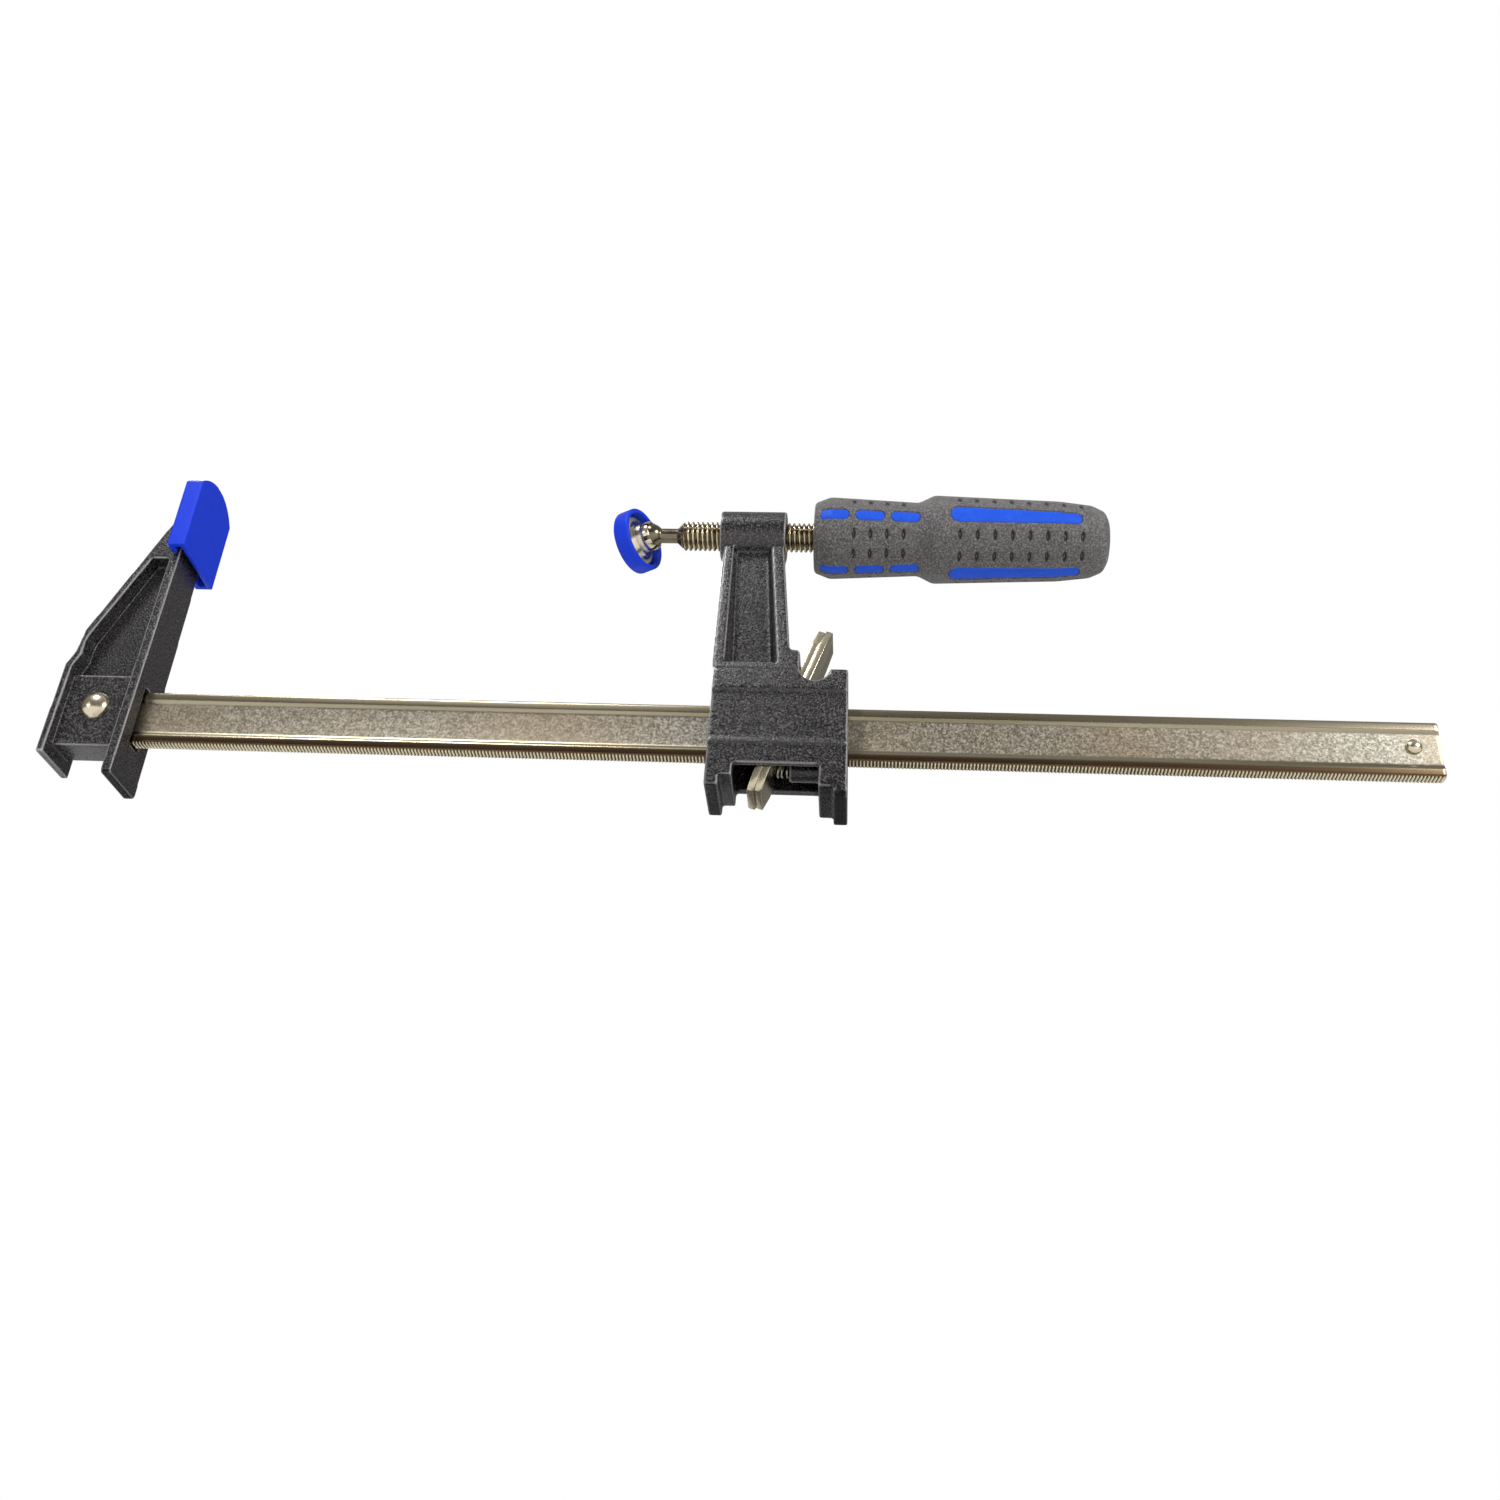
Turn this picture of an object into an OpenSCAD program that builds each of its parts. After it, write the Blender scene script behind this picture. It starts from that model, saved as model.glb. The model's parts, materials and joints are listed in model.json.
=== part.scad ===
// F clamp: a fixed jaw riveted to a steel rail, and a sliding jaw that carries a screw.
// +X runs along the rail from the fixed jaw to its free end, -Y is the front and +Z is up.
// The origin is the centre of the fixed jaw's clamping face, on the screw's axis.
// Most modules are drawn in rail coordinates: x = 0 at the fixed jaw's bare front face
// and z = 0 on the rail's centreline. from_rail() moves them into the part's frame.

/* [Rail] */
// Length of the rail, with the end that sits inside the fixed jaw
rail_length = 556; // [480:1:900]
// Height of the rail
rail_h = 25; // [24:0.5:26]
// Thickness of the rail over its two edge beads
rail_t = 6; // [5.6:0.1:6]
// Thickness of the rail between the beads
rail_web_t = 4.4; // [3.6:0.1:5]
// Height of each edge bead
rail_bead_h = 4; // [3:0.5:5]
// Distance from the rail's end to the centre of the stop pin
stop_inset = 10.2; // [8:0.1:14]

/* [Throat] */
// Depth of the throat, from the rail's top edge to the screw's axis
throat = 88.5; // [86:0.5:92]
// Distance from the fixed jaw's front face to the sliding jaw, as shown
jaw_gap = 240; // [210:1:270]

/* [Fixed jaw] */
// Half the width of the front flange at rail height
flange_half_w = 11.65; // [11:0.05:12]
// Thickness of the front flange
flange_t = 4.2; // [3.5:0.1:5]
// Length of the fixed jaw along the rail
jaw_depth = 34.2; // [33:0.1:36]
// Thickness of the mid-plane web
jaw_web_t = 6; // [5:0.5:8]
// Thickness of the block that the rail is riveted into
jaw_block_t = 14; // [13:0.5:16]
// Diameter of the rivet's head
rivet_head_d = 13; // [11:0.5:13]

/* [Jaw cap] */
// Width of the soft cap
cap_w = 33.8; // [32:0.1:35]
// Radius of the cap's arched top
cap_arch_r = 21.7; // [21:0.1:23]
// How far the cap hangs below the screw's axis
cap_drop = 21.5; // [20:0.5:22]
// Thickness of the cap in front of the jaw's bare face
cap_front = 4.5; // [4:0.1:5]
// Wall of the cap
cap_wall = 2.2; // [2:0.1:2.5]

/* [Sliding jaw] */
// Length of the sliding jaw's body along the rail
slider_l = 56.2; // [56:0.1:57]
// Half the width of the sliding jaw
slider_half_w = 14.4; // [14:0.1:15]
// Running clearance round the rail
rail_clearance = 0.4; // [0.35:0.05:0.5]
// Outer radius of the screw's boss
boss_r = 11; // [10.5:0.1:12]

/* [Clutch] */
// Thickness of one clutch plate
plate_t = 2.9; // [2.7:0.1:3]
// Width of the clutch plates
plate_w = 20; // [19:0.1:20.4]
// Width of the clutch plates at their narrowed ends
plate_end_w = 15; // [14:0.1:17]
// Lean of the locked plates from upright, in degrees
plate_lean = 18.6; // [18:0.1:19]
// Outer diameter of the clutch spring
spring_d = 5.6; // [5:0.1:5.6]
// Diameter of the spring's wire
spring_wire = 0.9; // [0.7:0.1:1]

/* [Screw] */
// Outside diameter of the screw thread
thread_d = 12.7; // [12.6:0.1:12.7]
// Diameter of the plain neck behind the ball
neck_d = 6.4; // [6:0.1:6.4]
// Diameter of the ball
ball_d = 10.4; // [10.4:0.1:10.6]
// Distance from the sliding jaw's body to the ball's centre, as shown
ball_reach = 34; // [33:0.5:36]

/* [Pressure pad] */
// Outside diameter of the pad's soft cap
pad_d = 28.2; // [28:0.1:29]
// Height of the pad's soft cap
pad_cap_h = 7.4; // [7.2:0.1:7.6]
// Distance from the ball's centre to the pad's clamping face
pad_front = 11.2; // [11:0.1:11.4]
// Swing of the pad about the vertical, as shown, in degrees
pad_swing = 27; // [0:1:27]
// Droop of the pad on the ball, as shown, in degrees
pad_nod = 4; // [0:1:6]

/* [Handle] */
// Length of the handle
handle_l = 126; // [120:1:130]
// Largest radius of the handle
handle_r = 19; // [18.5:0.1:19.5]
// Thickness of the rubber grip over the core
grip_t = 2.2; // [2:0.1:2.5]

/* [Hidden] */
$fn = 64;
eps = 0.01;
fit = 0.05;
through = 60;

black_cast = "#1d1d20";
zinc = "#c9bf9c";
steel = "#b5b1a6";
blue = "#1432d8";
rubber = "#2a2b2e";

axis_z = throat + rail_h / 2;
rail_start = -29.5;
rail_end = rail_start + rail_length;
bead_z = rail_h / 2 - rail_bead_h;
rail_corner = 1;
stop_x = rail_end - stop_inset;
stop_z = 1.2;
stop_r = 3.25;
stop_rise = 2.4;

foot_z = -31.5;
jaw_rear_foot_z = -22.5;
jaw_rear_t = 3;
block_bottom = -16.5;
block_top = 17.5;
pocket_top = 77;
rivet_x = -18.2;
rivet_z = 2.5;
rivet_r = 3.5;
rivet_rise = 3.6;
slot_gap = 1.1;
cap_back_x = -3.2;
head_front = cap_front - cap_wall - 0.4;
head_z = -17;
stem_half_w = 10.6;

body_top = 24.8;
arch_z = -20;
left_foot_z = -30;
left_step_z = -25.5;
right_foot_z = -33.6;
right_step_z = -29.8;
end_slope = 1.4;
arm_foot_w = 12.8;
arm_tip_w = 5.6;
arm_web_w = 3.2;
arm_rim_l = 4;
arm_rim_r = 5.1;
slider_x = jaw_gap;
slider_end = slider_x + slider_l;
left_leg_x = slider_x + 10.7;
right_leg_x = slider_x + 44.7;
leg_step = 5.6;
plate_x = slider_x + 35.3;
plate_pivot_z = 27;
plate_top = 21;
plate_bottom = -59.3;
plate_top_taper = 9;
plate_bottom_taper = 6.5;
scoop_x = slider_x + 41.2;
scoop_r = 6.1;
window_h = 28.4;
window_rise = 0.3;
cavity_half_w = plate_w / 2 + 0.6;
spring_z = -16.2;
spring_seat_x = slider_x + 32.6;
spring_seat_r = 4.4;
spring_end = slider_x + 43.8;
spring_start = slider_x + 27.3;
spring_turns = 7;
spring_sides = 6;
spring_steps = 14;

thread_start = slider_x - 19.3;
neck_end = thread_start - 3.2;
ball_x = slider_x - ball_reach;
boss_x0 = slider_x - 3.1;
boss_x1 = slider_x + 25.5;
handle_x = slider_x + 37.8;
spindle_end = handle_x + 62;
seat_t = 0.6;
seat_gap = 0.05;
seat_edge = 3;
lip_back = 1.64;
disc_r = pad_d / 2 - 2.2;
disc_front = pad_front - 2.5;

short_inlay_x = 2.4;
short_inlay_l = 12.7;
short_inlay_pitch = 15.2;
short_inlay_w = 5.2;
long_inlay_x = 58;
long_inlay_end = 113.5;
long_inlay_w0 = 8;
long_inlay_w1 = 5.5;

// ---------- helpers ----------

module from_rail() {
    translate([-cap_front, 0, -axis_z]) children();
}

// Extrudes an outline drawn in x and z to both sides of the mid-plane.
module across(width) {
    rotate([90, 0, 0]) linear_extrude(width, center = true) children();
}

// Extrudes an outline drawn in y and z along the rail.
module along(x0, x1) {
    translate([x0, 0, 0]) rotate([90, 0, 90]) linear_extrude(x1 - x0) children();
}

// A cylinder along x.
module rod(x0, x1, r) {
    translate([x0, 0, 0]) rotate([0, 90, 0]) cylinder(h = x1 - x0, r = r);
}

// A cylinder across the rail at a place in x and z.
module cross_pin(x, z, r, width) {
    translate([x, 0, z]) rotate([90, 0, 0]) cylinder(h = width, r = r, center = true);
}

// A domed head that stands on the plane z = 0.
module dome(r, rise) {
    ball_r = (r * r + rise * rise) / (2 * rise);
    intersection() {
        translate([0, 0, rise - ball_r]) sphere(r = ball_r);
        cylinder(h = rise + 1, r = r);
    }
}

// A shank with a domed head on each side.
module headed_pin(x, z, shank_r, head_r, rise, grip) {
    cross_pin(x, z, shank_r, grip + eps);
    for (side = [-1, 1])
        translate([x, side * grip / 2, z]) rotate([-90 * side, 0, 0]) dome(head_r, rise);
}

// ---------- rail ----------

module rail_section() {
    half = [
        [rail_t / 2, rail_h / 2 - rail_corner],
        [rail_t / 2, bead_z],
        [rail_web_t / 2, bead_z - 1.5],
        [rail_web_t / 2, 1.5 - bead_z],
        [rail_t / 2, -bead_z],
        [rail_t / 2, rail_corner - rail_h / 2],
        [rail_t / 2 - rail_corner, -rail_h / 2]
    ];
    mirrored = [for (i = [len(half) - 1 : -1 : 0]) [-half[i][0], half[i][1]]];
    top_right = [[rail_t / 2 - rail_corner, rail_h / 2]];
    top_left = [[rail_corner - rail_t / 2, rail_h / 2]];
    polygon(concat(top_right, half, mirrored, top_left));
}

module rail() {
    color(steel) from_rail() difference() {
        along(rail_start, rail_end) rail_section();
        cross_pin(rivet_x, rivet_z, rivet_r + fit, through);
        cross_pin(stop_x, stop_z, 2.5 + fit, through);
    }
}

module stop_pin() {
    color(zinc) from_rail() headed_pin(stop_x, stop_z, 2.5, stop_r, stop_rise, rail_web_t);
}

// ---------- fixed jaw ----------

module jaw_outline() {
    polygon([
        [0, foot_z], [0, axis_z + 12], [-1, axis_z + 12],
        [-7.5, 97], [-30.6, 38], [-31.8, 27], [-jaw_depth, 20.5],
        [-jaw_depth, jaw_rear_foot_z], [jaw_rear_t - jaw_depth, jaw_rear_foot_z],
        [jaw_rear_t - jaw_depth, block_bottom], [-flange_t, block_bottom],
        [-flange_t, foot_z]
    ]);
}

module jaw_pocket_outline() {
    polygon([
        [-flange_t, block_top], [-flange_t, pocket_top], [-11.9, pocket_top],
        [-28.3, 35.5], [-29, 32], [-28.8, 26],
        [jaw_rear_t - jaw_depth, 19.4], [jaw_rear_t - jaw_depth, block_top]
    ]);
}

// Outline from the front: the flanges narrow towards the tip and the feet are rounded off.
module jaw_front_outline() {
    taper = 0.019;
    corner = 1.5;
    low = flange_half_w - taper * foot_z;
    high = flange_half_w - taper * (axis_z + 12);
    polygon([
        [-low + corner, foot_z - 1], [low - corner, foot_z - 1], [low, foot_z + corner],
        [high, axis_z + 12], [-high, axis_z + 12], [-low, foot_z + corner]
    ]);
}

module cap_outline(inset) {
    half = cap_w / 2 - inset;
    arch = cap_arch_r - inset;
    shoulder = sqrt(arch * arch - half * half);
    translate([0, axis_z]) {
        intersection() {
            circle(r = arch);
            translate([-half, 0]) square([2 * half, arch]);
        }
        translate([-half, -cap_drop]) square([2 * half, cap_drop + shoulder / 2]);
    }
}

// The widened tip that the soft cap is pushed onto.
module jaw_head() {
    intersection() {
        along(cap_back_x + cap_wall + 0.2, head_front) cap_outline(cap_wall + 0.1);
        translate([-5, -20, axis_z + head_z]) cube([10, 40, 50]);
    }
}

module fixed_jaw() {
    color(black_cast) from_rail() difference() {
        union() {
            intersection() {
                across(30) jaw_outline();
                along(-jaw_depth - 1, 1) jaw_front_outline();
            }
            jaw_head();
        }
        for (side = [-1, 1])
            translate([0, side * (jaw_web_t / 2 + 10), 0]) across(20) jaw_pocket_outline();
        block_sides();
        along(rail_start - 0.2, 1) square([rail_t + 2 * fit, rail_h + 2 * fit], center = true);
        along(-flange_t + 0.5, 1)
            square([rail_t + 2 * slot_gap, rail_h + 2 * slot_gap], center = true);
        cross_pin(rivet_x, rivet_z, rivet_r + fit, through);
    }
}

// The room beside the block, between the front and rear flanges.
module block_sides() {
    x0 = jaw_rear_t - jaw_depth;
    for (side = [-1, 1])
        translate([x0, side * (jaw_block_t / 2 + 10) - 10, block_bottom - 1])
            cube([-flange_t - x0, 20, block_top - block_bottom + 1 + eps]);
}

module jaw_rivet() {
    color(zinc) from_rail()
        headed_pin(rivet_x, rivet_z, rivet_r, rivet_head_d / 2, rivet_rise, jaw_block_t);
}

module jaw_cap() {
    color(blue) from_rail() difference() {
        along(cap_back_x, cap_front) cap_outline(0);
        along(cap_back_x + cap_wall, cap_front - cap_wall) cap_outline(cap_wall);
        // The pocket is open at the bottom.
        translate([cap_back_x + cap_wall, cap_wall - cap_w / 2, axis_z - cap_drop - 1])
            cube([cap_front - cap_back_x - 2 * cap_wall, cap_w - 2 * cap_wall, 10]);
        // The back is slotted for the jaw's stem.
        translate([-10, -stem_half_w, axis_z - cap_drop - 1])
            cube([10 + cap_back_x + cap_wall + eps, 2 * stem_half_w, cap_drop + 14]);
    }
}

// ---------- sliding jaw ----------

// The body from the side, with its stepped legs.
module slider_outline() {
    polygon([
        [slider_x, left_foot_z], [slider_x + leg_step, left_foot_z],
        [slider_x + leg_step, left_step_z], [left_leg_x, left_step_z],
        [left_leg_x, arch_z], [right_leg_x, arch_z],
        [right_leg_x, right_step_z], [slider_end - leg_step, right_step_z],
        [slider_end - leg_step, right_foot_z], [slider_end, right_foot_z],
        [slider_end - end_slope, body_top], [slider_x, body_top]
    ]);
}

// The body from the front, with a bead above and below the side panel.
module slider_section() {
    w = slider_half_w;
    half = [
        [w - 1.4, body_top], [w - 0.6, body_top - 1.5], [w, 15], [w, 14], [w - 0.9, 13],
        [w - 0.4, -9], [w, -10], [w, -10.6], [w - 0.8, -11.6],
        [w - 0.6, right_foot_z + 2.5], [w - 2.6, right_foot_z]
    ];
    polygon(concat(half, [for (i = [len(half) - 1 : -1 : 0]) [-half[i][0], half[i][1]]]));
}

// The arm from the side, with the stop that the clutch plates lean on.
module arm_outline() {
    polygon([
        [slider_x, body_top - 2], [slider_x - 1, 28], [slider_x - 1, axis_z],
        [slider_x + 24.8, axis_z], [slider_x + 25.3, 89], [slider_x + 30.2, 37],
        [slider_x + 31, 34.8], [slider_x + 34, 34.8], [slider_x + 34.9, 33.5],
        [slider_x + 34.9, body_top - 2]
    ]);
}

module arm_front_outline() {
    polygon([
        [-arm_foot_w, body_top], [arm_foot_w, body_top],
        [arm_tip_w, axis_z], [-arm_tip_w, axis_z]
    ]);
}

// One level of the pocket in the arm's front: its sides lean in towards the web.
module pocket_level(z, x0, x1, face_w, draft) {
    translate([0, 0, z]) linear_extrude(eps) polygon([
        [x0, -face_w], [x1, -face_w], [x1 - draft, -arm_web_w], [x0 + draft, -arm_web_w]
    ]);
}

// The pocket, deeper and with more draft at the foot of the arm than at its tip.
module arm_pocket() {
    foot_z = 28;
    foot_draft = 2.6;
    tip_draft = 1.2;
    foot_right = slider_x + 31 - arm_rim_r;
    tip_left = slider_x - 1 + arm_rim_l;
    tip_right = slider_x + 24 - arm_rim_r;
    foot_left = tip_left + 0.8;
    hull() {
        pocket_level(foot_z, foot_left, foot_right, arm_foot_w + 1, foot_draft);
        pocket_level(axis_z, tip_left, tip_right, arm_tip_w + 1, tip_draft);
    }
}

// Room for the plates, from the slot in the top to the arch underneath.
module clutch_room() {
    across(2 * cavity_half_w) polygon([
        [slider_x + 34.9, 40], [slider_x + 34.9, plate_pivot_z], [slider_x + 32.9, 22],
        [left_leg_x, -14], [left_leg_x, -50],
        [right_leg_x, -50], [right_leg_x, 0], [slider_x + 47, 16], [slider_x + 47, 40]
    ]);
}

module arm() {
    difference() {
        intersection() {
            across(30) arm_outline();
            along(slider_x - 2, slider_x + 40) arm_front_outline();
        }
        arm_pocket();
        mirror([0, 1, 0]) arm_pocket();
    }
}

module sliding_jaw() {
    color(black_cast) from_rail() difference() {
        union() {
            difference() {
                union() {
                    intersection() {
                        across(30) slider_outline();
                        along(slider_x - 1, slider_end + 1) slider_section();
                    }
                    arm();
                }
                clutch_room();
                // Scoops in the rim beside the plates
                cross_pin(scoop_x, body_top, scoop_r, through);
            }
            translate([0, 0, axis_z]) rod(boss_x0, boss_x1, boss_r);
            // Seat for the clutch spring, under the rail
            translate([0, 0, spring_z]) rod(spring_seat_x, right_leg_x + 1, spring_seat_r);
        }
        along(slider_x - 1, slider_end + 1)
            square([rail_t + 2 * rail_clearance, rail_h + 2 * rail_clearance], center = true);
        translate([0, 0, axis_z]) rod(boss_x0 - 1, boss_x1 + 1, thread_d / 2 + fit + 0.05);
        translate([0, 0, spring_z]) rod(spring_seat_x - 1, spring_end + 0.2, spring_d / 2 + 0.25);
    }
}

// ---------- clutch ----------

// Places a plate drawn upright, with its pivot edge at the origin. Their ends stay level.
module lean_plate(index) {
    back = index * (plate_t + fit);
    translate([plate_x, 0, plate_pivot_z]) rotate([0, plate_lean, 0])
        translate([back, 0, back * tan(plate_lean)]) children();
}

module plate_outline() {
    half = plate_w / 2;
    end = plate_end_w / 2;
    polygon([
        [-end, plate_bottom], [end, plate_bottom], [half, plate_bottom + plate_bottom_taper],
        [half, plate_top - plate_top_taper], [end, plate_top], [-end, plate_top],
        [-half, plate_top - plate_top_taper], [-half, plate_bottom + plate_bottom_taper]
    ]);
}

module clutch_plate(index) {
    window_w = rail_t + 2 * rail_clearance;
    middle = window_rise - plate_pivot_z / cos(plate_lean) + plate_t / 2 * tan(plate_lean);
    color(zinc) from_rail() lean_plate(index) difference() {
        along(0, plate_t) plate_outline();
        translate([-1, -window_w / 2, middle - window_h / 2])
            cube([plate_t + 2, window_w, window_h]);
    }
}

module clutch_plate_front() { clutch_plate(0); }

module clutch_plate_rear() { clutch_plate(1); }

// One ring of the spring's wire, at a turn counted from its free end.
function wire_ring(turn) = let (
    mean_r = (spring_d - spring_wire) / 2,
    run = spring_end - spring_start - spring_wire,
    x = spring_start + spring_wire / 2 + run * turn / spring_turns
) [for (i = [0 : spring_sides - 1]) let (
    a = 360 * i / spring_sides,
    r = mean_r + spring_wire / 2 * cos(a)
) [x + spring_wire / 2 * sin(a), r * cos(360 * turn), spring_z + r * sin(360 * turn)]];

module clutch_spring() {
    rings = spring_turns * spring_steps;
    n = spring_sides;
    points = [for (k = [0 : rings]) each wire_ring(k / spring_steps)];
    sides = [for (k = [0 : rings - 1], i = [0 : n - 1])
        [k * n + i, k * n + (i + 1) % n, (k + 1) * n + (i + 1) % n, (k + 1) * n + i]];
    caps = [[for (i = [n - 1 : -1 : 0]) i], [for (i = [0 : n - 1]) rings * n + i]];
    color(steel) from_rail() polyhedron(points, concat(sides, caps), convexity = 10);
}

// ---------- screw ----------

module spindle() {
    color(steel) from_rail() translate([0, 0, axis_z]) {
        translate([ball_x, 0, 0]) sphere(r = ball_d / 2);
        rod(ball_x, neck_end + 0.5, neck_d / 2);
        translate([neck_end, 0, 0]) rotate([0, 90, 0])
            cylinder(h = thread_start - neck_end, r1 = neck_d / 2, r2 = thread_d / 2);
        rod(thread_start - eps, spindle_end, thread_d / 2);
    }
}

// Thin liner between the ball and the socket.
module ball_seat() {
    color(steel) from_rail() translate([ball_x, 0, axis_z]) intersection() {
        difference() {
            sphere(r = ball_d / 2 + seat_gap + seat_t);
            sphere(r = ball_d / 2 + seat_gap);
        }
        translate([-20 - seat_edge, -20, -20]) cube([20, 40, 40]);
    }
}

// ---------- pressure pad ----------

// Places a pad piece drawn with the ball's centre at the origin and its face towards -x.
module on_ball() {
    from_rail() translate([ball_x, 0, axis_z]) rotate([0, -pad_nod, -pad_swing]) children();
}

// A turned piece whose outline is drawn as radius and depth in front of the ball.
module turned() {
    rotate([0, -90, 0]) rotate_extrude() children();
}

// A dished disc with a collar that closes behind the ball.
module pad_socket() {
    cavity_r = ball_d / 2 + 2 * seat_gap + seat_t;
    collar_r = 6.6;
    foot_r = collar_r + 1;
    disc_back = disc_front - 2;
    lip_r = ball_d / 2 + 0.1;
    lip_in = [for (a = [0 : 4 : 16]) [lip_r * cos(a), -lip_r * sin(a)]];
    cup = [for (a = [90 : -6 : 0]) [cavity_r * cos(a), cavity_r * sin(a)]];
    color(zinc) on_ball() turned() polygon(concat(
        [[0, disc_front], [disc_r, disc_front], [disc_r, disc_back],
            [disc_r - 2.2, disc_back - 0.4], [foot_r, 5], [collar_r, 2.4],
            [collar_r, -lip_back]],
        [for (i = [len(lip_in) - 1 : -1 : 0]) lip_in[i]],
        [for (i = [len(cup) - 1 : -1 : 1]) cup[i]],
        [[0, cavity_r]]
    ));
}

module pad_cap() {
    r = pad_d / 2;
    inner = disc_r + fit;
    back = pad_front - pad_cap_h;
    color(blue) on_ball() turned() polygon([
        [0, pad_front], [r - 0.8, pad_front], [r, pad_front - 0.8], [r, back],
        [inner, back], [inner, disc_front + fit], [0, disc_front + fit]
    ]);
}

// ---------- handle ----------

// Outline of the handle as position along it and radius, inset for the pieces inside.
function handle_outline(inset) = [
    [inset, handle_r - 3.4 - inset], [7, handle_r - 1.1 - inset], [38, handle_r - 3.1 - inset],
    [45, handle_r - 3.1 - inset], [51, handle_r - 0.2 - inset], [58, handle_r - inset],
    [105, handle_r - 1.9 - inset], [119, handle_r - 3.3 - inset],
    [124 - inset, handle_r - 5.5 - inset], [handle_l - inset, handle_r - 8.5 - inset]
];

// A turned piece drawn as position along the handle and radius.
module handle_turned() {
    translate([handle_x, 0, axis_z]) rotate([0, 90, 0]) rotate_extrude() children();
}

module handle_body(inset, bore) {
    outline = handle_outline(inset);
    handle_turned() polygon(concat(
        [[bore, inset]],
        [for (p = outline) [p[1], p[0]]],
        [[0, handle_l - inset], [0, spindle_end - handle_x + fit],
            [bore, spindle_end - handle_x + fit]]
    ));
}

// Outline of one inlay with round ends, lying along x, with its width at each end.
module inlay_outline(x0, width0, x1, width1) {
    start = x0 + width0 / 2;
    end = x1 - width1 / 2;
    translate([start, 0]) circle(d = width0);
    translate([end, 0]) circle(d = width1);
    polygon([
        [start, -width0 / 2], [end, -width1 / 2], [end, width1 / 2], [start, width0 / 2]
    ]);
}

// Bars that run through the handle where its coloured inlays show.
module inlay_bars(gap) {
    short_w = short_inlay_w + 2 * gap;
    from_w = long_inlay_w0 + 2 * gap;
    to_w = long_inlay_w1 + 2 * gap;
    for (turn = [0, 90])
        translate([handle_x, 0, axis_z]) rotate([turn, 0, 0])
            linear_extrude(3 * handle_r, center = true) {
                for (i = [0 : 2]) {
                    x = short_inlay_x + i * short_inlay_pitch;
                    inlay_outline(x - gap, short_w, x + short_inlay_l + gap, short_w);
                }
                inlay_outline(long_inlay_x - gap, from_w, long_inlay_end + gap, to_w);
            }
}

module handle_core() {
    bore = thread_d / 2 + fit;
    color(blue) from_rail() {
        handle_body(grip_t + fit, bore);
        intersection() {
            inlay_bars(0);
            difference() {
                handle_body(0.3, bore);
                handle_body(grip_t + 0.5, 0);
            }
        }
    }
}

module handle_grip() {
    color(rubber) from_rail() difference() {
        handle_body(0, thread_d / 2 + fit);
        handle_body(grip_t, 0);
        inlay_bars(fit);
    }
}

rail();
stop_pin();
fixed_jaw();
jaw_rivet();
jaw_cap();
sliding_jaw();
clutch_plate_front();
clutch_plate_rear();
clutch_spring();
spindle();
ball_seat();
pad_socket();
pad_cap();
handle_core();
handle_grip();
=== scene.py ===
"""F clamp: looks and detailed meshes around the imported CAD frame.

+X runs along the rail to its free end, -Y is the front and +Z is up. The origin is on the
screw's axis, at the fixed jaw's clamping face. Sizes are in millimetres times MM.
"""

import json
import math

import bmesh
import bpy
import numpy as np
from mathutils import Matrix, Vector


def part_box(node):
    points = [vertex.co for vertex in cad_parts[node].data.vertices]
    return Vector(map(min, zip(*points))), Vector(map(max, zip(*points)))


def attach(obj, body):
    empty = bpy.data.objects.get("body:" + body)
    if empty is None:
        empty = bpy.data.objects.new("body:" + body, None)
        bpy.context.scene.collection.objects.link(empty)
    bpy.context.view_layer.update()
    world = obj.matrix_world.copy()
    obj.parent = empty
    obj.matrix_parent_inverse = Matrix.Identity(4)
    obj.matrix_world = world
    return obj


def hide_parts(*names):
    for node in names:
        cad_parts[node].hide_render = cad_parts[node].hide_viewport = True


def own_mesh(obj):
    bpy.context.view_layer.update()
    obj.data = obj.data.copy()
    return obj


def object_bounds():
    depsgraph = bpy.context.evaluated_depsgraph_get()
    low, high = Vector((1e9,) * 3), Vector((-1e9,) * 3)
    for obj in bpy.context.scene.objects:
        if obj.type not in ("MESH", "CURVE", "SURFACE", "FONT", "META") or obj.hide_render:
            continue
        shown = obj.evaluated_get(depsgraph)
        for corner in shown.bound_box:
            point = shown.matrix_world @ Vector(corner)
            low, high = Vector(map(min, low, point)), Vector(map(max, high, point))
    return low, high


MM = 0.001
TAU = 2 * math.pi

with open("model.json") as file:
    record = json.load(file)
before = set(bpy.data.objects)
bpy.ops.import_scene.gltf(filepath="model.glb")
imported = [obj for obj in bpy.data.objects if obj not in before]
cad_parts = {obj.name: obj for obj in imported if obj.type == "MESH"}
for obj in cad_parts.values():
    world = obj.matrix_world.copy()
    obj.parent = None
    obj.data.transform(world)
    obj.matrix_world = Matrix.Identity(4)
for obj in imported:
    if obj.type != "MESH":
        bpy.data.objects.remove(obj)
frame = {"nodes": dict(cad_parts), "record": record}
cad_low, cad_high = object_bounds()


# ---------- places taken from the frame ----------

rail_low, rail_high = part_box("rail")
RAIL_Z = (rail_low.z + rail_high.z) / 2
RAIL_H = rail_high.z - rail_low.z
RAIL_T = rail_high.y - rail_low.y

spindle_low, spindle_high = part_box("spindle")
THREAD_R = spindle_high.z
BALL_R = 5.2 * MM
BALL_X = spindle_low.x + BALL_R

grip_low, grip_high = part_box("handle_grip")
HANDLE_X = grip_low.x
HANDLE_R = grip_high.z

pad_mount = next(m for m in frame["record"]["mounts"] if m["name"] == "pad_face")
pad_out = Vector(pad_mount["axis"])
PAD_FRONT = (Vector(pad_mount["pos_m"]) - Vector((BALL_X, 0, 0))).length

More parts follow.
